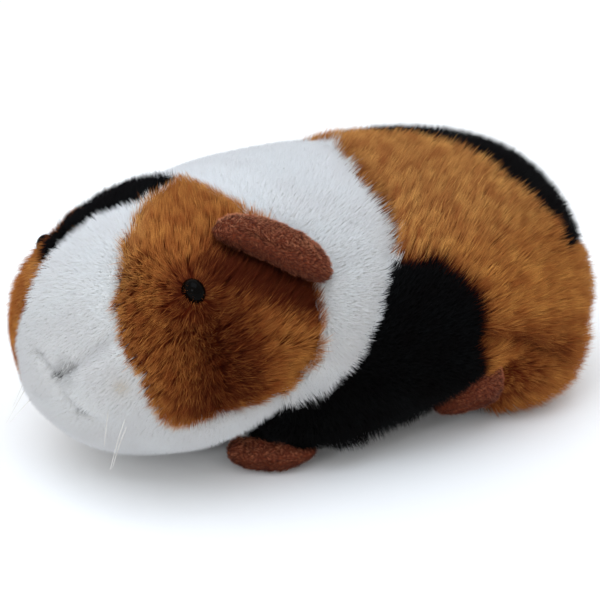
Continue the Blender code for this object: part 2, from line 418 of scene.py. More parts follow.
parting = hy - CHEEK_PARTING - PARTING_SLOPE * hz
on_leg = ramp(0.004, 0.0, leg)
on_hip = ramp(0.004, 0.0, hip)
by_eye = ramp(0.011, 0.006, eye_gap)
by_foot = ramp(0.010, 0.004, foot_gap) * ramp(0.0002, 0.0008, foot_gap)
muzzle = ramp(-0.030, -0.046, hy)
hangs = ramp(0.024, 0.012, z) * ramp(-0.045, -0.035, y) * ramp(0.040, 0.025, y) * is_black

comb = mixed(along_skin(BODY_WAY), along_skin(RUMP_WAY), ramp(0.020, 0.085, y))
comb = mixed(comb, along_skin(FALLING_WAY), ramp(0.088, 0.106, y) * ramp(0.078, 0.055, z))
comb = mixed(along_skin(COLLAR_WAY), comb, ramp(-0.004, 0.004, behind))
cheek_way = mixed(head_way(CHEEK_FORE), head_way(CHEEK_AFT), ramp(-0.005, 0.005, parting))
cheek_way = mixed(cheek_way, head_way(CHEEK_UP), ramp(0.034, 0.044, hz))
for way, share in ((along_skin(HIP_WAY), on_hip), (along_skin(LEG_WAY), on_leg),
                   (along_skin(FALLING_WAY), hangs), (head_way(FACE_WAY), in_head), (cheek_way, in_cheek),
                   (along_skin(eye_way), EYE_COMBED * by_eye), (along_skin(foot_way), by_foot)):
    comb = mixed(comb, way, share)
comb = along_skin(spread(comb, COMB_ROUNDS))

from_parting = np.maximum(ramp(0.0, 0.020, np.abs(parting)), ramp(0.0, -0.01, hx))
lean = np.full(len(outer), GINGER_LEAN)
for angle, share in ((WHITE_LEAN, is_white), (BLACK_LEAN, is_black),
                     (PARTING_LEAN + COMBED_LEAN * from_parting, in_cheek),
                     (EYE_LEAN, EYE_COMBED * by_eye)):
    lean = mixed(lean, angle, share)

pile = np.full(len(outer), GINGER_PILE)
for length, share in ((CHEEK_PILE, in_cheek), (WHITE_PILE, is_white), (BLACK_PILE, is_black),
                      (LEG_PILE, on_leg), (MUZZLE_PILE, muzzle * in_head),
                      (EYE_PILE, by_eye * (1 - is_black)), (HANGING_PILE, hangs),
                      (BACK_PILE, ramp(-0.002, 0.002, np.minimum(back, behind)))):
    pile = mixed(pile, length, share)
pile *= PILE_AT_FEET + (1 - PILE_AT_FEET) * ramp(0.003, 0.015, foot_gap)


# ---------------------------------------------------------------------------------------------
# The nose, mouth and folds: a V-shaped nose brushed grey and a short mouth, both drawn in with
# thread, and the creases of the cheeks and haunches. Pile that is drawn in lies in real shade, and
# shade is also painted into the pile's colour over the cheeks, round the eyes, under the ears, in
# the haunches' creases and round the feet.

# Lines and spots of the face on the head's own axes, across and up
NOSE = ((-0.0080, 0.0083), (-0.0035, 0.0061), (0.0012, 0.0034), (0.0024, 0.0017), (0.0070, 0.0048),
        (0.0115, 0.0085))
NOSE_APEX, NOSE_BRUSHED = (0.0018, 0.0026), (0.0070, 0.0052)
LIP = ((0.0026, 0.0010), (0.0065, -0.0035), (0.0110, -0.0076))
MOUTH = ((0.0080, -0.0112), (0.0112, -0.0096), (0.0156, -0.0122))
MOUTH_APEX = (0.0106, -0.0101)
CHEEK_FOLD = ((0.0120, 0.0075), (0.0180, 0.0120), (0.0250, 0.0175))
TAN_SPOT = (0.0291, 0.0027)
# Lines of each haunch: out from the middle, back and up
HAUNCH_CREASE = ((0.0627, 0.034, 0.043), (0.0604, 0.0507, 0.0351), (0.0568, 0.0744, 0.0251))
HAUNCH_FOLD = ((0.0611, 0.0507, 0.0411), (0.0581, 0.0647, 0.0392))
# Each mark is as strong as its first number, and fades between the two gaps that follow it.
# First how the thread draws the pile in, then the grey brushing of the nose and mouth, then the
# painted shade round the eyes, under the ears, over the haunches and feet and in the cheeks, and
# last the tan spot
NOSE_DRAWN, MOUTH_DRAWN = (0.7, 0.0028, 0.0004), (0.7, 0.0026, 0.0004)
LIP_DRAWN = (0.5, 0.0028, 0.0004)
NOSE_DARK, APEX_DARK, BRUSHED_DARK = (0.35, 0.0024, 0.0), (0.85, 0.0038, 0.0006), (0.45, 0.0075, 0.0)
LIP_DARK, MOUTH_DARK, MOUTH_APEX_DARK = (0.25, 0.0022, 0.0), (0.3, 0.0022, 0.0), (0.75, 0.0034, 0.0005)
EYE_DARK, EAR_DARK = (0.8, 0.012, 0.004), (1.5, 0.022, 0.009)
CREASE_DARK, FOLD_DARK, FOOT_DARK = (0.75, 0.0075, 0.0010), (0.45, 0.0050, 0.0010), (0.45, 0.012, 0.004)
HIP_DARK, HIP_CREASE_DARK = (0.22, 0.003, 0.0), (0.20, 0.008, 0.001)
PARTING_DARK, BEFORE_PARTING_DARK = (0.58, 0.017, 0.001), (0.20, 0.024, 0.008)
SPOT_TAN, ROUND_SPOT_TAN = (0.65, 0.0032, 0.0008), (0.10, 0.010, 0.002)
# The painted shade over the cheek: how dark it is all over, and what is added at its top and its
# foot. The edge of the cheek and the whole right cheek get less of it
CHEEK_DARK, CHEEK_TOP_DARK, CHEEK_FOOT_DARK = 0.12, 0.08, 0.24
CHEEK_EDGE_LIGHT, RIGHT_CHEEK = 0.75, 0.5
NOSE_TRIM, CREASE_TRIM = 0.75, 0.40  # the shares of its length that the pile is cut to
NOSE_LEAN = 0.35


def from_line(points, ends):
    """Distances from a line of straight runs."""
    found = np.full(len(points), 1.0)
    for start, end in zip(ends[:-1], ends[1:]):
        start, run = np.array(start), np.array(end) - np.array(start)
        share = np.clip((points - start) @ run / (run @ run), 0, 1)
        found = np.minimum(found, np.linalg.norm(points - start - share[:, None] * run, axis=1))
    return found


def strongest(*marks):
    """The strongest of some marks, each with the gap between it and every point of the skin."""
    return np.maximum.reduce([strength * ramp(start, full, gap) for (strength, start, full), gap in marks])


front = ramp(-0.030, -0.040, hy)
face = head_points[:, ::2]
nose_gap, lip_gap, mouth_gap, fold_gap = (from_line(face, line) for line in (NOSE, LIP, MOUTH, CHEEK_FOLD))
apex_gap, brushed_gap, mouth_apex_gap, spot_gap = (
    np.linalg.norm(face - np.array(spot), axis=1)
    for spot in (NOSE_APEX, NOSE_BRUSHED, MOUTH_APEX, TAN_SPOT))
outward = np.column_stack((np.abs(x), y, z))
haunch_crease, haunch_fold = (from_line(outward, line) for line in (HAUNCH_CREASE, HAUNCH_FOLD))

crease = front * strongest((NOSE_DRAWN, nose_gap), (MOUTH_DRAWN, mouth_gap), (LIP_DRAWN, lip_gap))
fold = front * ramp(0.0050, 0.0005, fold_gap)
stain = front * strongest((NOSE_DARK, nose_gap), (APEX_DARK, apex_gap), (BRUSHED_DARK, brushed_gap),
                          (LIP_DARK, lip_gap), (MOUTH_APEX_DARK, mouth_apex_gap), (MOUTH_DARK, mouth_gap))
# Painted shade in the pile round each sunken eye
stain = np.maximum(stain, strongest((EYE_DARK, eye_gap)))
# Painted shadow on the cheek's pile under each ear
stain = np.maximum(stain, strongest((EAR_DARK, ear_gap)) * under_ear * ramp(0.0, 0.002, cheek))
# Painted shade in the cheek's deep pile, darkest along and just before its parting
cheek_shade = strongest((BEFORE_PARTING_DARK, parting)) + strongest((PARTING_DARK, np.abs(parting - 0.002)))
cheek_shade = CHEEK_DARK + CHEEK_TOP_DARK * ramp(0.028, 0.040, hz) + cheek_shade * ramp(0.038, 0.018, hz)
cheek_shade += CHEEK_FOOT_DARK * ramp(0.008, -0.006, hz) * ramp(0.016, 0.006, parting) * ramp(0.95, 0.6, cheek_shade)
to_left = mixed(np.full(len(outer), RIGHT_CHEEK), 1.0, ramp(-0.01, 0.01, hx))
cheek_shade *= (1 - CHEEK_EDGE_LIGHT * ramp(0.008, 0.001, cheek)) * to_left
stain = np.maximum(stain, cheek_shade * in_cheek * (1 - is_black))
# Painted shade in the haunches' creases and fold, over the haunches and round the feet
hip_shade = strongest((CREASE_DARK, haunch_crease), (FOLD_DARK, haunch_fold), (FOOT_DARK, foot_gap))
hip_shade = np.maximum(hip_shade, strongest((HIP_DARK, hip)) + strongest((HIP_CREASE_DARK, hip_crease)))
stain = np.maximum(stain, hip_shade * ramp(0.0, 0.003, behind) * ramp(0.070, 0.050, z))
at_nose = front * ramp(0.018, 0.008, np.minimum(apex_gap, mouth_apex_gap))
pile = mixed(pile, pile * NOSE_TRIM, at_nose)
pile = mixed(pile, pile * CREASE_TRIM, crease)
lean = mixed(lean, NOSE_LEAN, at_nose)


# ---------------------------------------------------------------------------------------------
# The backing cloth: a close weave in the dye of each panel, which shows only between the fibres.
# It lies under the tips by the depth of the pile, and is drawn in along the seams and creases.

GINGER_ROOT, WHITE_ROOT, BLACK_ROOT = (0.13, 0.018, 0.004), (0.85, 0.845, 0.83), (0.0020, 0.0020, 0.0020)
WEAVE_SIZE = 1 / 900.0
WEAVE_WORN, WEAVE_SHADE = 0.3, (0.6, 0.6, 0.6)
STANDING, WHITE_STANDING = 0.85, 0.75  # the share of the upright length that the pile fills
# How deep the cloth lies round the feet, behind them and behind the eyes
FOOT_RIM_DEPTH, FOOT_DEPTH, EYE_DEPTH = 0.0064, 0.0042, 0.0040
# How far it is drawn in at the seams and creases
HEAD_SEAM_DEPTH, TRUNK_SEAM_DEPTH, SEAM_WIDTH = 0.0012, 0.0010, 0.003
CHIN_DEPTH, CREASE_DEPTH, FOLD_DEPTH, HIP_DEPTH = 0.0030, 0.0024, 0.0012, 0.0010
HAUNCH_CREASE_DEPTH, HAUNCH_FOLD_DEPTH = 0.0028, 0.0012
DEPTH_ROUNDS, NORMAL_ROUNDS = 8, 3
SKIN_CLEARANCE = 0.001
UNDERNEATH = 0.35  # the share of the fibres that is left where the toy lies on the floor
CHEEK_RIM_PALE, CHEEK_TOP_PALE, BACK_SHEEN = 0.25, 0.35, 0.35  # how much paler the ginger is at the cheeks' edges and their tops, and the painted sheen on the back
# How far neighbouring fibres draw together, and how much less in the right cheek
BODY_CLUMP, CHEEK_CLUMP, RIGHT_LOOSER = 0.6, 0.8, 0.6

depth = pile * np.cos(lean) * mixed(np.full_like(pile, STANDING), WHITE_STANDING, is_white)
depth = np.maximum(depth, FOOT_RIM_DEPTH * ramp(0.015, 0.004, foot_gap))
depth = mixed(depth, FOOT_DEPTH, ramp(0.003, 0.001, foot_gap))
depth = mixed(depth, EYE_DEPTH, ramp(0.0066, 0.0046, eye_gap))
depth = spread(depth, DEPTH_ROUNDS)
depth += (HEAD_SEAM_DEPTH * np.exp(-((ahead / SEAM_WIDTH) ** 2))
          + TRUNK_SEAM_DEPTH * np.exp(-((behind / SEAM_WIDTH) ** 2)))
chin = ramp(0.0, -0.5, normal[:, 2]) * ramp(0.0, 0.004, ahead) * ramp(-0.004, 0.020, hx) * ramp(0.0, 0.01, z)
depth += CHIN_DEPTH * chin
depth += (CREASE_DEPTH * crease + FOLD_DEPTH * fold
          + HIP_DEPTH * ramp(0.006, 0.0, hip_crease) * ramp(0.090, 0.075, y))
depth += (HAUNCH_CREASE_DEPTH * ramp(0.0065, 0.0005, haunch_crease)
          + HAUNCH_FOLD_DEPTH * ramp(0.005, 0.0005, haunch_fold))
inner = outer - unit(spread(normal, NORMAL_ROUNDS)) * depth[:, None]
inner[:, 2] = np.maximum(inner[:, 2], SKIN_CLEARANCE)
skin.data.vertices.foreach_set("co", inner.ravel())
skin.data.update()

# The unwrap lays a piece's six sides out in the unit square. These are the places of the sides
# of a piece as large as the skin, in metres
UNWRAP_SIZE = np.array((0.126, 0.222, 0.102))
UNWRAP_SHARE = 2.1
UNWRAP_TILES = {(0, 1): (0.0, 0.0), (0, -1): (0.0, 0.105), (2, 1): (0.0, 0.21), (2, -1): (0.0, 0.34),
                (1, -1): (0.23, 0.0), (1, 1): (0.23, 0.105)}
UNWRAP_PLANES = {0: (1, 2), 1: (0, 2), 2: (1, 0)}


def dress(item, fields):
    """Puts the pile's fields on a piece, with an unwrap of its six sides."""
    mesh = item.data
    for name, values in fields.items():
        kind = "FLOAT_VECTOR" if values.ndim == 2 else "FLOAT"
        field = mesh.attributes.new(name, kind, "POINT")
        field.data.foreach_set("vector" if values.ndim == 2 else "value", values.ravel())
    points = column(mesh.vertices, "co", 3)
    points = points - points.min(axis=0)
    points = points / (points.max(axis=0) / UNWRAP_SIZE).max()
    facing = column(mesh.polygons, "normal", 3)
    size = column(mesh.polygons, "loop_total", 1).astype(int).ravel()
    axis = np.repeat(np.abs(facing).argmax(axis=1), size)
    way = np.repeat(np.sign(facing[np.arange(len(facing)), np.abs(facing).argmax(axis=1)]), size)
    corner = points[column(mesh.loops, "vertex_index", 1).astype(int).ravel()]
    flat = np.zeros((len(corner), 2))
    for (tile_axis, tile_way), place in UNWRAP_TILES.items():
        chosen = (axis == tile_axis) & (way == tile_way)
        flat[chosen] = (corner[chosen][:, UNWRAP_PLANES[tile_axis]] + np.array(place)) * UNWRAP_SHARE
    unwrap = mesh.attributes.new("unwrap", "FLOAT2", "CORNER")
    unwrap.data.foreach_set("vector", flat.ravel())


thick = mixed(np.ones(len(outer)), UNDERNEATH, ramp(0.006, 0.002, z) * ramp(-0.3, -0.8, normal[:, 2]))
thick *= ramp(0.0008, 0.0026, foot_gap) * ramp(0.0036, 0.0044, eye_gap)
# The ginger is paler at the cheeks' edges, and painted sheen lightens it along the top and the
# rear of the body
pale = ramp(0.008, 0.0, cheek) * (CHEEK_RIM_PALE + CHEEK_TOP_PALE * ramp(0.018, 0.036, hz)) * in_cheek
sheen_on_back = BACK_SHEEN * (1 - in_head) * np.maximum(ramp(0.3, 0.9, normal[:, 2]), ramp(0.080, 0.100, y))
tan_spot = front * (strongest((SPOT_TAN, spot_gap)) + strongest((ROUND_SPOT_TAN, spot_gap)))
pale = np.maximum(np.maximum(pale, sheen_on_back) * (1 - is_white), tan_spot)
clump = mixed(np.full(len(outer), BODY_CLUMP), CHEEK_CLUMP - RIGHT_LOOSER * ramp(0.0, -0.01, hx), in_cheek)
dress(skin, {"comb": comb, "lean": lean, "pile": pile, "stain": stain, "thick": thick,
             "clump": clump, "pale": pale,
             "black": np.clip(0.5 + (black + wander) / PANEL_EDGE, 0, 1),
             "white": np.clip(0.5 + (white + wander) / PANEL_EDGE, 0, 1)})


def add(tree, kind, inputs=None, **settings):
    """A node with its settings. Inputs are values, or other nodes' outputs."""
    made = tree.nodes.new(kind)
    for name, value in settings.items():
        setattr(made, name, value)
    for name, value in (inputs or {}).items():
        socket = made.inputs[name] if isinstance(name, int) else next(
            item for item in made.inputs if item.name == name and item.enabled)
        if isinstance(value, bpy.types.NodeSocket):
            tree.links.new(value, socket)
        else:
            socket.default_value = value
    return made


def output(node, name=None):
    """A node's first enabled output, or the one of that name."""
    return next(item for item in node.outputs if item.enabled and name in (None, item.name))


def principled(name, **constants):
    """A new material and its tree and shader, with numbers set on the shader's own sockets."""
    made = bpy.data.materials.new(name)
    made.use_nodes = True
    shader = made.node_tree.nodes["Principled BSDF"]
    for socket, value in constants.items():
        shader.inputs[socket.replace("_", " ")].default_value = value
    return made, made.node_tree, shader


def blend(tree, factor, one, other, how="MIX"):
    """A colour mixed from two."""
    node = add(tree, "ShaderNodeMix", data_type="RGBA", blend_type=how, clamp_factor=True)
    for socket, value in zip((node.inputs[0], node.inputs[6], node.inputs[7]), (factor, one, other)):
        if isinstance(value, bpy.types.NodeSocket):
            tree.links.new(value, socket)
        else:
            socket.default_value = value if socket.type == "VALUE" else (*value, 1.0)[:4]
    return node.outputs[2]


def painted(tree, name):
    """A field of the piece, read by its material."""
    return add(tree, "ShaderNodeAttribute", attribute_name=name).outputs["Fac"]


def mottle(tree, size, detail=2.0):
    """Soft spots of one size all over the piece, from 0 to 1."""
    place = add(tree, "ShaderNodeTexCoord").outputs["Object"]
    spots = add(tree, "ShaderNodeTexNoise", {"Vector": place, "Scale": 1.0 / size, "Detail": detail})
    return spots.outputs["Fac"]


def times(tree, one, other, clamp=False):
    """Two numbers multiplied."""
    return add(tree, "ShaderNodeMath", {0: one, 1: other}, operation="MULTIPLY", use_clamp=clamp).outputs[0]


backing, tree, shader = principled("backing_cloth", Roughness=0.95, Specular_IOR_Level=0.05)
dye = blend(tree, painted(tree, "white"), GINGER_ROOT, WHITE_ROOT)
dye = blend(tree, painted(tree, "black"), dye, BLACK_ROOT)
dye = blend(tree, times(tree, mottle(tree, WEAVE_SIZE), WEAVE_WORN), dye, WEAVE_SHADE, "MULTIPLY")
tree.links.new(dye, shader.inputs["Base Color"])
skin.data.materials.append(backing)
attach(skin, "root")
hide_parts(*FLESH)


# ---------------------------------------------------------------------------------------------
# The pile: polyester fibre in three dyes, standing in the backing and combed over. Fine straight
# fibre fills the depth. In the ginger, longer curved locks lie over it, and neighbours draw
# together at the tips.

# GINGER_PALE is the ginger at the cheeks' paler edges and in the painted sheen on the back
GINGER_TIP, GINGER_PALE = (0.74, 0.310, 0.074), (0.80, 0.44, 0.15)
# The ginger's colour in painted shade, and the warmer tint that painted shade gives it
GINGER_SHADE_WARMTH, GINGER_SHADED = (1.0, 0.80, 0.78), (0.088, 0.0145, 0.0045)
WHITE_TIP, TAN_TIP, WHITE_STAINED = (0.87, 0.875, 0.885), (0.60, 0.44, 0.22), (0.07, 0.065, 0.065)
# The black's colour in painted shade
BLACK_TIP, BLACK_SHADED = (0.0085, 0.0085, 0.0090), (0.001, 0.001, 0.001)
UNCHANGED = (1.0, 1.0, 1.0)  # what a dye is multiplied by where painted shade doesn't warm it
ROOT_SHARE = 0.18  # up to this share of its height a tuft has the root's colour
RUDDY = 0.65  # red varies less than green and blue from tuft to tuft
SPOT_CONTRAST = (0.3, 0.7)  # the soft spots' noise between these two is spread over the whole range
STAIN_AND_SHADE_UNEVEN = (1.45, 0.55)  # one tuft takes up more of the stains and painted shade than another
MINGLED = 0.25  # how far a tuft may stray into the panel next to its own
LENGTHS, WIDTHS = (0.8, 1.05), (0.7, 1.15)  # the shortest and longest tufts, thinnest and widest
SCATTER = 0.7  # the share of its spread by which a tuft also strays sideways
# How much a tuft's own direction counts in its shading, and how much its own sides may add to that
STAND_SHADING, OWN_SHADING_CAP = 0.12, 0.25
TUFT_PATCH = 0.003  # each tuft's patch of the unwrap
CURVED_RINGS = ((-0.06, 0.5), (0.55, 0.42))  # height and radius
STRAIGHT_RINGS = ((-0.06, 0.5),)
FLOOR_CLEARANCE = 0.0003


def tuft(name, rings):
    """A three-sided spike along +Z, one long and one across, open at its hidden root."""
    form = bmesh.new()
    before = None
    side = form.verts.layers.float.new("side")
    along = form.verts.layers.float.new("along")
    tip = form.verts.new((0, 0, 1))
    tip[side], tip[along] = 0.5, 1.0
    for height, radius in rings:
        ring = []
        for corner in range(3):
            angle = math.tau * corner / 3
            vertex = form.verts.new((radius * math.cos(angle), radius * math.sin(angle), height))
            vertex[side], vertex[along] = corner / 2, max(height, 0)
            ring.append(vertex)
        for one in range(3 if before else 0):
            form.faces.new((before[one], before[(one + 1) % 3], ring[(one + 1) % 3], ring[one]))
        before = ring
    for one in range(3):
        form.faces.new((before[one], before[(one + 1) % 3], tip))
    mesh = bpy.data.meshes.new(name)
    form.to_mesh(mesh)
    form.free()
    mesh.shade_smooth()
    return bpy.data.objects.new(name, mesh)


def pile_tree():
    """Geometry nodes that sow one panel's tufts over a piece."""
    tree = bpy.data.node_groups.new("lay_pile", "GeometryNodeTree")
    tree.is_modifier = True
    sockets = {"Geometry": "Geometry", "Panel": "Int", "Per Square Metre": "Float", "Width": "Float",
               "Length": "Float", "Spread": "Float", "Wave": "Float", "Wave Size": "Float",
               "Curl": "Float", "Lock Size": "Float", "Lock Pull": "Float", "Own Shading": "Float",
               "Seed": "Int", "Tuft": "Object", "Material": "Material"}
    for name, kind in sockets.items():
        tree.interface.new_socket(name, in_out="INPUT", socket_type="NodeSocket" + kind)
    tree.interface.new_socket("Geometry", in_out="OUTPUT", socket_type="NodeSocketGeometry")
    given = add(tree, "NodeGroupInput").outputs

    def field(name, kind="FLOAT"):
        return output(add(tree, "GeometryNodeInputNamedAttribute", {"Name": name}, data_type=kind))

    def maths(operation, *values):
        return add(tree, "ShaderNodeMath", dict(enumerate(values)), operation=operation).outputs[0]

    def vector(operation, *values):
        return output(add(tree, "ShaderNodeVectorMath", dict(enumerate(values)), operation=operation))

    def scaled(value, factor):
        return add(tree, "ShaderNodeVectorMath", {"Vector": value, "Scale": factor},
                   operation="SCALE").outputs[0]

    def chance(low, high, extra):
        node = add(tree, "FunctionNodeRandomValue",
                   {"Min": low, "Max": high, "Seed": maths("ADD", given["Seed"], extra)},
                   data_type="FLOAT" if isinstance(low, float) else "FLOAT_VECTOR")
        return output(node)

    def keep(geometry, name, value, kind="FLOAT", domain="POINT"):
        return add(tree, "GeometryNodeStoreNamedAttribute",
                   {"Geometry": geometry, "Name": name, "Value": value},
                   data_type=kind, domain=domain).outputs[0]

    sown = add(tree, "GeometryNodeDistributePointsOnFaces",
               {"Mesh": given["Geometry"], "Seed": given["Seed"],
                "Density": maths("MULTIPLY", given["Per Square Metre"], field("thick"))})
    stray = chance(-MINGLED, MINGLED, 1.0)
    is_black = maths("GREATER_THAN", maths("ADD", field("black"), stray), 0.5)
    is_white = maths("GREATER_THAN", maths("ADD", field("white"), stray), 0.5)
    panel = maths("MAXIMUM", maths("MULTIPLY", is_black, 2.0), is_white)
    chosen = maths("COMPARE", panel, given["Panel"], 0.1)
    roots = add(tree, "GeometryNodeSeparateGeometry",
                {"Geometry": sown.outputs["Points"], "Selection": chosen}).outputs["Selection"]

    lift = sown.outputs["Normal"]
    lean = maths("ADD", field("lean"), maths("MULTIPLY", chance(-1.0, 1.0, 2.0), given["Spread"]))
    stand = vector("ADD", scaled(lift, maths("COSINE", lean)),
                   scaled(field("comb", "FLOAT_VECTOR"), maths("SINE", lean)))
    place = add(tree, "GeometryNodeInputPosition").outputs[0]
    swell = add(tree, "ShaderNodeTexNoise", {"Vector": place, "Detail": 1.0,
                                             "Scale": maths("DIVIDE", 1.0, given["Wave Size"])})
    sway = scaled(vector("SUBTRACT", swell.outputs["Color"], (0.5, 0.5, 0.5)), given["Wave"])
    scatter = scaled(chance((-1.0,) * 3, (1.0,) * 3, 3.0), maths("MULTIPLY", given["Spread"], SCATTER))
    stand = vector("NORMALIZE", vector("ADD", vector("ADD", stand, sway), scatter))
    turn = add(tree, "FunctionNodeAxesToRotation",
               {"Primary Axis": stand, "Secondary Axis": chance((-1.0,) * 3, (1.0,) * 3, 4.0)},
               primary_axis="Z", secondary_axis="X").outputs[0]
    reach = maths("MULTIPLY", maths("MULTIPLY", field("pile"), given["Length"]), chance(*LENGTHS, 5.0))
    girth = maths("MULTIPLY", given["Width"], chance(*WIDTHS, 6.0))
    roots = keep(roots, "root", place, "FLOAT_VECTOR")
    roots = keep(roots, "lift", lift, "FLOAT_VECTOR")
    roots = keep(roots, "stand", stand, "FLOAT_VECTOR")
    roots = keep(roots, "reach", reach)
    roots = keep(roots, "shade", chance(0.0, 1.0, 7.0))
    size = add(tree, "ShaderNodeCombineXYZ", {"X": girth, "Y": girth, "Z": reach}).outputs[0]
    shape = output(add(tree, "GeometryNodeObjectInfo", {"Object": given["Tuft"]}), "Geometry")
    tufts = add(tree, "GeometryNodeInstanceOnPoints",
                {"Points": roots, "Instance": shape, "Rotation": turn, "Scale": size}).outputs[0]
    tufts = add(tree, "GeometryNodeRealizeInstances", {"Geometry": tufts}).outputs[0]

    along = field("along")
    bend = maths("MULTIPLY", along, along)
    droop = scaled(field("comb", "FLOAT_VECTOR"),
                   maths("MULTIPLY", bend, maths("MULTIPLY", given["Curl"], field("reach"))))
    cells = add(tree, "ShaderNodeTexVoronoi", {"Vector": field("root", "FLOAT_VECTOR"), "Randomness": 1.0,
                                               "Scale": maths("DIVIDE", 1.0, given["Lock Size"])})
    inward = vector("SUBTRACT", output(cells, "Position"), field("root", "FLOAT_VECTOR"))
    rise = add(tree, "ShaderNodeVectorMath", {0: inward, 1: field("lift", "FLOAT_VECTOR")},
               operation="DOT_PRODUCT").outputs["Value"]
    inward = vector("SUBTRACT", inward, scaled(field("lift", "FLOAT_VECTOR"), rise))
    pull = maths("MULTIPLY", given["Lock Pull"], field("clump"))
    gather = scaled(inward, maths("MULTIPLY", bend, pull))
    tone = output(add(tree, "ShaderNodeSeparateXYZ", {0: output(cells, "Color")}))
    tufts = keep(tufts, "lock", tone)
    tufts = add(tree, "GeometryNodeSetPosition",
                {"Geometry": tufts, "Offset": vector("ADD", droop, gather)}).outputs[0]
    apart = add(tree, "ShaderNodeSeparateXYZ", {0: add(tree, "GeometryNodeInputPosition").outputs[0]})
    rest = add(tree, "ShaderNodeCombineXYZ",
               {"X": apart.outputs[0], "Y": apart.outputs[1],
                "Z": maths("MAXIMUM", apart.outputs[2], FLOOR_CLEARANCE)}).outputs[0]
    tufts = add(tree, "GeometryNodeSetPosition", {"Geometry": tufts, "Position": rest}).outputs[0]

    patch = add(tree, "ShaderNodeCombineXYZ",
                {"X": maths("SUBTRACT", field("side"), 0.5), "Y": maths("SUBTRACT", along, 0.5)}).outputs[0]
    patch = vector("ADD", field("unwrap", "FLOAT_VECTOR"), scaled(patch, TUFT_PATCH))
    tufts = keep(tufts, "OFBake", patch, "FLOAT2", "CORNER")
    # Light falls on the pile as on the soft body under it, more than on each fibre's own sides
    side_on = scaled(output(add(tree, "GeometryNodeInputNormal")), given["Own Shading"])
    upright = maths("ADD", STAND_SHADING, maths("MINIMUM", given["Own Shading"], OWN_SHADING_CAP))
    soft = vector("NORMALIZE", vector("ADD", vector("ADD", field("lift", "FLOAT_VECTOR"), side_on),
                                      scaled(field("stand", "FLOAT_VECTOR"), upright)))
    tufts = add(tree, "GeometryNodeSetMeshNormal", {"Mesh": tufts, "Custom Normal": soft},
                mode="FREE", domain="POINT").outputs[0]
    tufts = add(tree, "GeometryNodeSetMaterial",
                {"Geometry": tufts, "Material": given["Material"]}).outputs[0]
    add(tree, "NodeGroupOutput", {"Geometry": tufts})
    return tree


lay_pile = pile_tree()
sockets = {item.name: item.identifier for item in lay_pile.interface.items_tree
           if item.item_type == "SOCKET" and item.in_out == "INPUT"}
straight = tuft("straight_tuft", STRAIGHT_RINGS)
curved = tuft("curved_tuft", CURVED_RINGS)
KEPT_FIELDS = ("along", "shade", "lock", "stain", "pale")


def grow(name, base, finish, slot, **values):
    """A piece of pile over a base piece, as one plain mesh."""
    made = placed(name, base.data.copy())
    laid = made.modifiers.new("pile", "NODES")
    laid.node_group = lay_pile
    for key, value in values.items():
        laid[sockets[key.replace("_", " ")]] = value
    laid[sockets["Material"]] = finish
    applied(made)
    for field in list(made.data.attributes):
        if field.domain == "POINT" and field.data_type in ("FLOAT", "FLOAT_VECTOR", "FLOAT2") \
                and field.name not in KEPT_FIELDS and field.name != "position":
            made.data.attributes.remove(field)
    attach(made, "root")


def stretched(tree, value, to, start=(0.0, 1.0)):
    """A number that runs over start's range, made to run over another one."""
    return add(tree, "ShaderNodeMapRange", {"Value": value, "From Min": start[0], "From Max": start[1],
                                            "To Min": to[0], "To Max": to[1]}).outputs[0]


def fibre(name, root, tip, pale_tip, stain_and_shade_colour, shade_warmth, patch_size, patch_depth, lock_depth, own_depth,
          **constants):
    """Dyed fibre: dark at the root, light at the tip, no two tufts or locks alike."""
    made, tree, shader = principled(name, **constants)
    height = add(tree, "ShaderNodeMapRange",
                 {"Value": painted(tree, "along"), "From Min": ROOT_SHARE, "From Max": 1.0},
                 interpolation_type="SMOOTHSTEP").outputs[0]
    dye = blend(tree, height, root, blend(tree, painted(tree, "pale"), tip, pale_tip))
    own = painted(tree, "shade")
    tufts = stretched(tree, own, (1.0 - own_depth, 1.0 + own_depth / 2))
    patches = stretched(tree, mottle(tree, patch_size), (1.0 - patch_depth, 1.0 + patch_depth / 2),
                        SPOT_CONTRAST)
    locks = stretched(tree, painted(tree, "lock"), (1.0 - lock_depth, 1.0 + lock_depth))
    tone = times(tree, times(tree, tufts, patches), locks)
    red = add(tree, "ShaderNodeMath", {0: tone, 1: RUDDY, 2: 1 - RUDDY}, operation="MULTIPLY_ADD").outputs[0]
    tint = add(tree, "ShaderNodeCombineColor", {"Red": red, "Green": tone, "Blue": tone}).outputs[0]
    dye = blend(tree, 1.0, dye, tint, "MULTIPLY")
    # The field darkens each tuft towards its stain-and-shade colour: grey brushing on the nose and mouth,
    # painted shade elsewhere
    mark = times(tree, painted(tree, "stain"), stretched(tree, own, STAIN_AND_SHADE_UNEVEN), clamp=True)
    # Painted shade is warmed too, as light bounced about in deep pile would be
    dye = blend(tree, times(tree, mark, 2.0, clamp=True), dye, shade_warmth, "MULTIPLY")
    dye = blend(tree, mark, dye, stain_and_shade_colour)
    tree.links.new(dye, shader.inputs["Base Color"])
    return made


ginger_fibre = fibre("ginger_fibre", GINGER_ROOT, GINGER_TIP, GINGER_PALE, GINGER_SHADED, GINGER_SHADE_WARMTH,
                     patch_size=0.0065, patch_depth=0.30, lock_depth=0.34, own_depth=0.26,
                     Roughness=0.9, Specular_IOR_Level=0.06)
white_fibre = fibre("white_fibre", WHITE_ROOT, WHITE_TIP, TAN_TIP, WHITE_STAINED, UNCHANGED,
                    patch_size=0.020, patch_depth=0.03, lock_depth=0.01, own_depth=0.02,
                    Roughness=0.95, Specular_IOR_Level=0.05)
black_fibre = fibre("black_fibre", BLACK_ROOT, BLACK_TIP, BLACK_TIP, BLACK_SHADED, UNCHANGED,
                    patch_size=0.012, patch_depth=0.3, lock_depth=0.2, own_depth=0.2,
                    Roughness=0.9, Specular_IOR_Level=0.04)

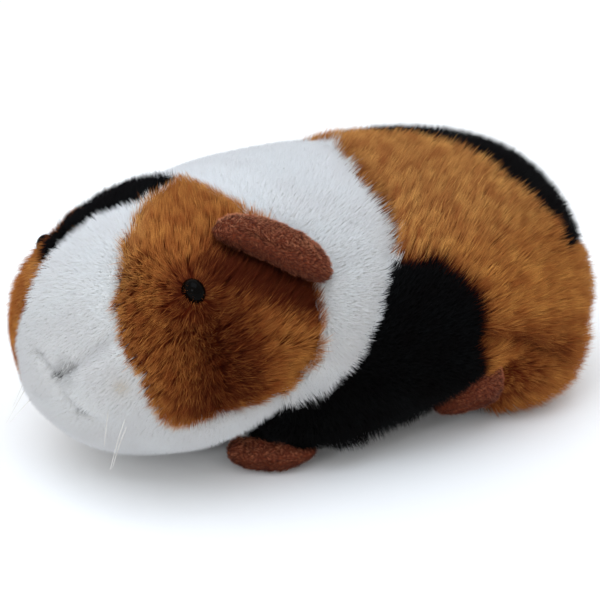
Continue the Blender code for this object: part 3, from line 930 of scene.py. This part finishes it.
GINGER, WHITE, BLACK = 0, 1, 2  # the panels' numbers in the tree
for number in range(3):
    grow("ginger_pile_%d" % (number + 1), skin, ginger_fibre, "ginger_plush", Panel=GINGER,
         Per_Square_Metre=2.5e6, Width=0.00026, Length=0.95, Spread=0.24, Wave=0.5, Wave_Size=0.012,
         Curl=0.0, Lock_Size=0.0034, Lock_Pull=0.75, Own_Shading=0.4, Seed=11 + number, Tuft=straight)
grow("ginger_locks", skin, ginger_fibre, "ginger_plush", Panel=GINGER,
     Per_Square_Metre=0.6e6, Width=0.0003, Length=1.02, Spread=0.25, Wave=0.7, Wave_Size=0.012,
     Curl=0.25, Lock_Size=0.0036, Lock_Pull=0.55, Own_Shading=0.4, Seed=21, Tuft=curved)
for number in range(2):
    grow("white_pile_%d" % (number + 1), skin, white_fibre, "white_plush", Panel=WHITE,
         Per_Square_Metre=2.8e6, Width=0.00034, Length=1.0, Spread=0.20, Wave=0.2, Wave_Size=0.012,
         Curl=0.0, Lock_Size=0.0026, Lock_Pull=0.0, Own_Shading=0.0, Seed=31 + number, Tuft=straight)
for number in range(2):
    grow("black_pile_%d" % (number + 1), skin, black_fibre, "black_plush", Panel=BLACK,
         Per_Square_Metre=2.0e6, Width=0.00030, Length=1.0, Spread=0.35, Wave=0.4, Wave_Size=0.008,
         Curl=0.0, Lock_Size=0.0024, Lock_Pull=0.3, Own_Shading=0.2, Seed=51 + number, Tuft=straight)


# ---------------------------------------------------------------------------------------------
# The ears and feet: short-napped brown velour, each sewn as a small bag, turned and stuffed. The
# bags are plump at one end, lumpy, and drawn in along a seam round the side.

NAP = 0.0013
NAP_LEAN = 0.8
PAD_MESH = 0.0008
PAD_SHRUNK = 0.0007  # the bag lies inside the nap by this much
PAD_SMOOTHING = 6
VELOUR_DARK, VELOUR, VELOUR_LIGHT = (0.065, 0.012, 0.005), (0.20, 0.045, 0.018), (0.76, 0.245, 0.115)
# The nap's paler colour where painted light falls on its top
VELOUR_TOP_LIGHT = (0.98, 0.40, 0.21)
GRAIN_SIZE, GRAIN_DETAIL = 1 / 700.0, 3.0
LUMP, LUMP_WAVES = 0.00045, 520.0  # the lumps' height, and their waves per metre
SWIRL, SWIRL_WAVES = 2.0, 300.0  # how far the nap strays from its lie, in how many waves per metre
SWIRL_SEED = 5
PAD_SEAM_WIDTH, PAD_SEAM_DEPTH = 0.0011, 0.0012
PAD_FULLER = 0.6  # each pad is fullest above and in front
# Each pad's plumper end, 1 for the rear and -1 for the front, how much it swells, and where its
# seam runs: above or below its middle
PADS = {"ear": (1, 0.0012, 0.0026), "forepaw": (-1, 0.0006, 0.0), "hindfoot": (1, 0.0030, -0.0022)}
PAW_TAPER, PAW_RAISED = 0.45, 0.0012  # the forepaw's rear end is thinner, and lifted
# The haunch's stuffing pushes the hind foot out and up and shortens it, and its upper end is
# fatter than its toes
HIND_FOOT_OUT, HIND_FOOT_RAISED, HIND_FOOT_SHORT = 0.002, 0.0032, 0.0026
HIND_FOOT_FATTER, HIND_FOOT_THINNER = 0.40, 0.30
PAD_CLEARANCE = 0.0008
UNDER_SHADE, SEAM_SHADE = 0.7, 0.5  # how dark the painted shade makes the nap below and in the seam
EAR_TOP_LIGHT, FOOT_TOP_LIGHT = 1.0, 0.3  # how pale painted light makes the nap on top
UP = np.array((0.0, 0.0, 1.0))

velour, tree, shader = principled("velour_backing", Roughness=0.9, Specular_IOR_Level=0.1)
grain = mottle(tree, GRAIN_SIZE, GRAIN_DETAIL)
tree.links.new(blend(tree, grain, VELOUR_DARK, VELOUR), shader.inputs["Base Color"])
bump = add(tree, "ShaderNodeBump", {"Height": grain, "Strength": 0.6, "Distance": 0.0004})
tree.links.new(bump.outputs[0], shader.inputs["Normal"])
nap_fibre = fibre("velour_nap", VELOUR_DARK, VELOUR_LIGHT, VELOUR_TOP_LIGHT, VELOUR_DARK, UNCHANGED,
                  patch_size=0.0030, patch_depth=0.35, lock_depth=0.25, own_depth=0.35,
                  Roughness=0.55, Specular_IOR_Level=0.15)

noise.seed_set(SWIRL_SEED)  # unseeded, vector noise would differ each run
for number, name in enumerate(EARS + FEET):
    far_end, swell, seam_height = PADS[name.split("_")[0]]
    pad = remeshed(name + "_velour", (name,), PAD_MESH, -PAD_SHRUNK, PAD_SMOOTHING)
    points = column(pad.data.vertices, "co", 3)
    facing = column(pad.data.vertices, "normal", 3)
    centre = points.mean(axis=0)
    length = np.linalg.svd(points - centre, full_matrices=False)[2][0]
    length = length * np.sign(length[1])
    along = (points - centre) @ length
    along = along / np.abs(along).max()
    over = unit((UP - length * length[2])[None])[0]
    facing_out = np.sign(points[:, 0].mean()) * facing[:, 0]
    seam_gap = np.abs((points - centre) @ over - seam_height)
    seam = ramp(PAD_SEAM_WIDTH, 0.0, seam_gap) * ramp(0.1, 0.5, facing_out + 0.5 * facing[:, 2])
    seam = seam * ramp(0.9, 0.5, -far_end * along) * ramp(0.8, 0.2, far_end * along)
    lumps = np.array([noise.noise(Vector(point) * LUMP_WAVES) for point in points])
    swirl = np.array([noise.noise_vector(Vector(point) * SWIRL_WAVES) for point in points])
    fuller = 1.0 + PAD_FULLER * (facing[:, 2] - facing[:, 1])
    plump_end = ramp(-0.5, 0.8, far_end * along)
    rise = lumps * LUMP + swell * fuller * plump_end - PAD_SEAM_DEPTH * seam
    points = points + facing * rise[:, None]
    thickness = ((points - centre) @ over)[:, None] * over
    if name in FEET[:2]:
        points -= thickness * PAW_TAPER * ramp(0.2, 1.0, along)[:, None]
        points[:, 2] += PAW_RAISED * ramp(0.3, 1.0, along)
    if name in FEET[2:]:
        fatter = HIND_FOOT_FATTER * ramp(-0.1, 0.7, along) - HIND_FOOT_THINNER * ramp(0.1, -0.9, along)
        points += thickness * fatter[:, None]
        points -= length * (far_end * along + 1)[:, None] * HIND_FOOT_SHORT
        points[:, 0] += np.sign(points[:, 0]) * HIND_FOOT_OUT
        points[:, 2] += HIND_FOOT_RAISED * plump_end
    points[:, 2] = np.maximum(points[:, 2], PAD_CLEARANCE)
    pad.data.vertices.foreach_set("co", points.ravel())
    pad.data.update()
    sweep = length * far_end + swirl * SWIRL
    sweep = unit(sweep - facing * np.sum(sweep * facing, axis=1, keepdims=True))
    # Painted shade below each pad and along its seam, and painted light on its top
    under_and_seam_shade = np.maximum(UNDER_SHADE * ramp(0.35, -0.4, facing[:, 2]), SEAM_SHADE * seam)
    top_light = (EAR_TOP_LIGHT if name in EARS else FOOT_TOP_LIGHT) * ramp(0.1, 0.8, facing[:, 2])
    flat = np.zeros(len(points))
    dress(pad, {"comb": sweep, "lean": flat + NAP_LEAN, "pile": flat + NAP, "stain": under_and_seam_shade,
                "thick": flat + 1, "clump": flat + 1, "pale": top_light, "black": flat, "white": flat})
    pad.data.materials.append(velour)
    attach(pad, "root")
    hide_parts(name)
    grow(name + "_nap", pad, nap_fibre, "brown_velour", Panel=GINGER, Per_Square_Metre=8.0e6,
         Width=0.00019, Length=1.0, Spread=0.5, Wave=1.6, Wave_Size=0.0016, Curl=0.6, Lock_Size=0.0013,
         Lock_Pull=0.8, Own_Shading=1.0, Seed=71 + number, Tuft=straight)


# ---------------------------------------------------------------------------------------------
# The eyes: glossy, slightly oval beads of black plastic. Each has a shank that is locked behind
# the backing cloth, and sits half sunk in the pile.

EYE_SIZE = (0.0088, 0.0070, 0.0088)  # on the head's axes
EYE_SUNK = {"left": 0.0012, "right": 0.0016}
BEAD_DARK, BEAD_LIGHT = (0.0006, 0.0005, 0.0004), (0.0020, 0.0014, 0.0010)
CLOUD_SIZE = 1 / 350.0

bead_plastic, tree, shader = principled("bead_plastic", Roughness=0.05, Specular_IOR_Level=0.035)
tree.links.new(blend(tree, mottle(tree, CLOUD_SIZE), BEAD_DARK, BEAD_LIGHT), shader.inputs["Base Color"])
for side in ("left", "right"):
    form = bmesh.new()
    bmesh.ops.create_uvsphere(form, u_segments=48, v_segments=32, radius=0.5)
    bmesh.ops.scale(form, verts=form.verts, vec=EYE_SIZE)
    bmesh.ops.rotate(form, verts=form.verts, matrix=HEAD_LIE)
    inward = (HEAD_CENTRE - middle("eye_" + side)).normalized()
    bmesh.ops.translate(form, verts=form.verts, vec=middle("eye_" + side) + inward * EYE_SUNK[side])
    mesh = bpy.data.meshes.new("bead_" + side)
    form.to_mesh(mesh)
    form.free()
    mesh.shade_smooth()
    bead = placed("bead_" + side, mesh)
    bead.data.materials.append(bead_plastic)
    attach(bead, "root")
    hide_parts("eye_" + side)


# ---------------------------------------------------------------------------------------------
# The whiskers: three short nylon fibres at each side of the mouth, knotted inside the head. They
# taper and droop a little.

WHISKER_ROOTS = ((0.021, -0.046, -0.002), (0.025, -0.044, -0.009), (0.023, -0.043, -0.014))
WHISKER_LENGTHS = (0.013, 0.015, 0.012)
WHISKER_WAYS = ((0.1, -0.55, -0.9), (0.05, -0.75, -0.75), (0.2, -0.9, -0.5))
WHISKER_DROOP = Vector((0.002, -0.002, -0.003))
WHISKER_RADIUS = 0.00014
WHISKER_TAPER = 0.6
WHISKER_POINTS = 9
NYLON_DARK, NYLON_LIGHT = (0.55, 0.47, 0.38), (0.92, 0.92, 0.90)
NYLON_SPOT = 1 / 90.0

nylon, tree, shader = principled("whisker_nylon", Roughness=0.35, Specular_IOR_Level=0.4)
tree.links.new(blend(tree, mottle(tree, NYLON_SPOT), NYLON_DARK, NYLON_LIGHT), shader.inputs["Base Color"])
for side, name in ((1, "left"), (-1, "right")):
    strands = bpy.data.curves.new("whiskers_" + name, "CURVE")
    strands.dimensions = "3D"
    strands.bevel_depth = WHISKER_RADIUS
    strands.bevel_resolution = 1
    strands.use_fill_caps = True
    for root, reach, way in zip(WHISKER_ROOTS, WHISKER_LENGTHS, WHISKER_WAYS):
        strand = strands.splines.new("POLY")
        strand.points.add(WHISKER_POINTS - 1)
        way = Vector(way).normalized()
        for index in range(WHISKER_POINTS):
            share = index / (WHISKER_POINTS - 1)
            place = Vector(root) + way * reach * share + WHISKER_DROOP * share * share
            place = HEAD_CENTRE + HEAD_LIE @ Vector((place.x * side, place.y, place.z))
            strand.points[index].co = (place.x, place.y, max(place.z, SKIN_CLEARANCE), 1.0)
            strand.points[index].radius = 1.0 - WHISKER_TAPER * share
    drawn = placed("whiskers_drawn", strands)
    mesh = bpy.data.meshes.new_from_object(drawn.evaluated_get(bpy.context.evaluated_depsgraph_get()))
    bpy.data.objects.remove(drawn)
    whiskers = placed("whiskers_" + name, mesh)
    mesh.materials.clear()
    mesh.materials.append(nylon)
    mesh.shade_smooth()
    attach(whiskers, "root")


# ---------------------------------------------------------------------------------------------
# The studio: a floor of white paper and even light all round, with a wide soft window overhead
# and a small one low before the head, and the camera.

FLOOR_REACH = 4
PAPER = (0.95, 0.95, 0.95, 1)
ROOM_LIGHT = 0.93
CAMERA_AIM = Vector((0.0, -0.0034, 0.0435))
CAMERA_TURN, CAMERA_RISE = math.radians(60), math.radians(25)
CAMERA_AWAY = 0.60
CAMERA_LENS = 99.72

bpy.context.scene.view_settings.view_transform = "Standard"
plane = bpy.data.meshes.new("floor")
plane.from_pydata([(FLOOR_REACH * side, FLOOR_REACH * end, 0)
                   for side, end in ((-1, -1), (1, -1), (1, 1), (-1, 1))], [], [(0, 1, 2, 3)])
floor = placed("floor", plane)
paper, tree, shader = principled("studio_paper", Roughness=0.9)
shader.inputs["Base Color"].default_value = PAPER
plane.materials.append(paper)

world = bpy.data.worlds.new("studio")
world.use_nodes = True
world.node_tree.nodes["Background"].inputs["Color"].default_value = (1, 1, 1, 1)
world.node_tree.nodes["Background"].inputs["Strength"].default_value = ROOM_LIGHT
bpy.context.scene.world = world


def lamp(name, place, size, power, colour):
    """A square soft light, facing the toy."""
    light = bpy.data.lights.new(name, "AREA")
    light.size, light.energy, light.color = size, power, colour
    made = placed(name, light)
    made.location = place
    made.rotation_euler = (CAMERA_AIM - made.location).to_track_quat("-Z", "Y").to_euler()


lamp("window", place=Vector((0.25, -0.30, 1.15)), size=1.0, power=7.6, colour=(0.74, 0.86, 1.0))
lamp("side_window", place=Vector((0.46, -0.82, 0.40)), size=0.11, power=1.15, colour=(0.88, 0.94, 1.0))

camera = placed("camera", bpy.data.cameras.new("camera"))
camera.data.lens = CAMERA_LENS
toward = Vector((math.sin(CAMERA_TURN) * math.cos(CAMERA_RISE),
                 -math.cos(CAMERA_TURN) * math.cos(CAMERA_RISE), math.sin(CAMERA_RISE)))
camera.location = CAMERA_AIM + toward * CAMERA_AWAY
camera.rotation_euler = (-toward).to_track_quat("-Z", "Y").to_euler()
bpy.context.scene.camera = camera
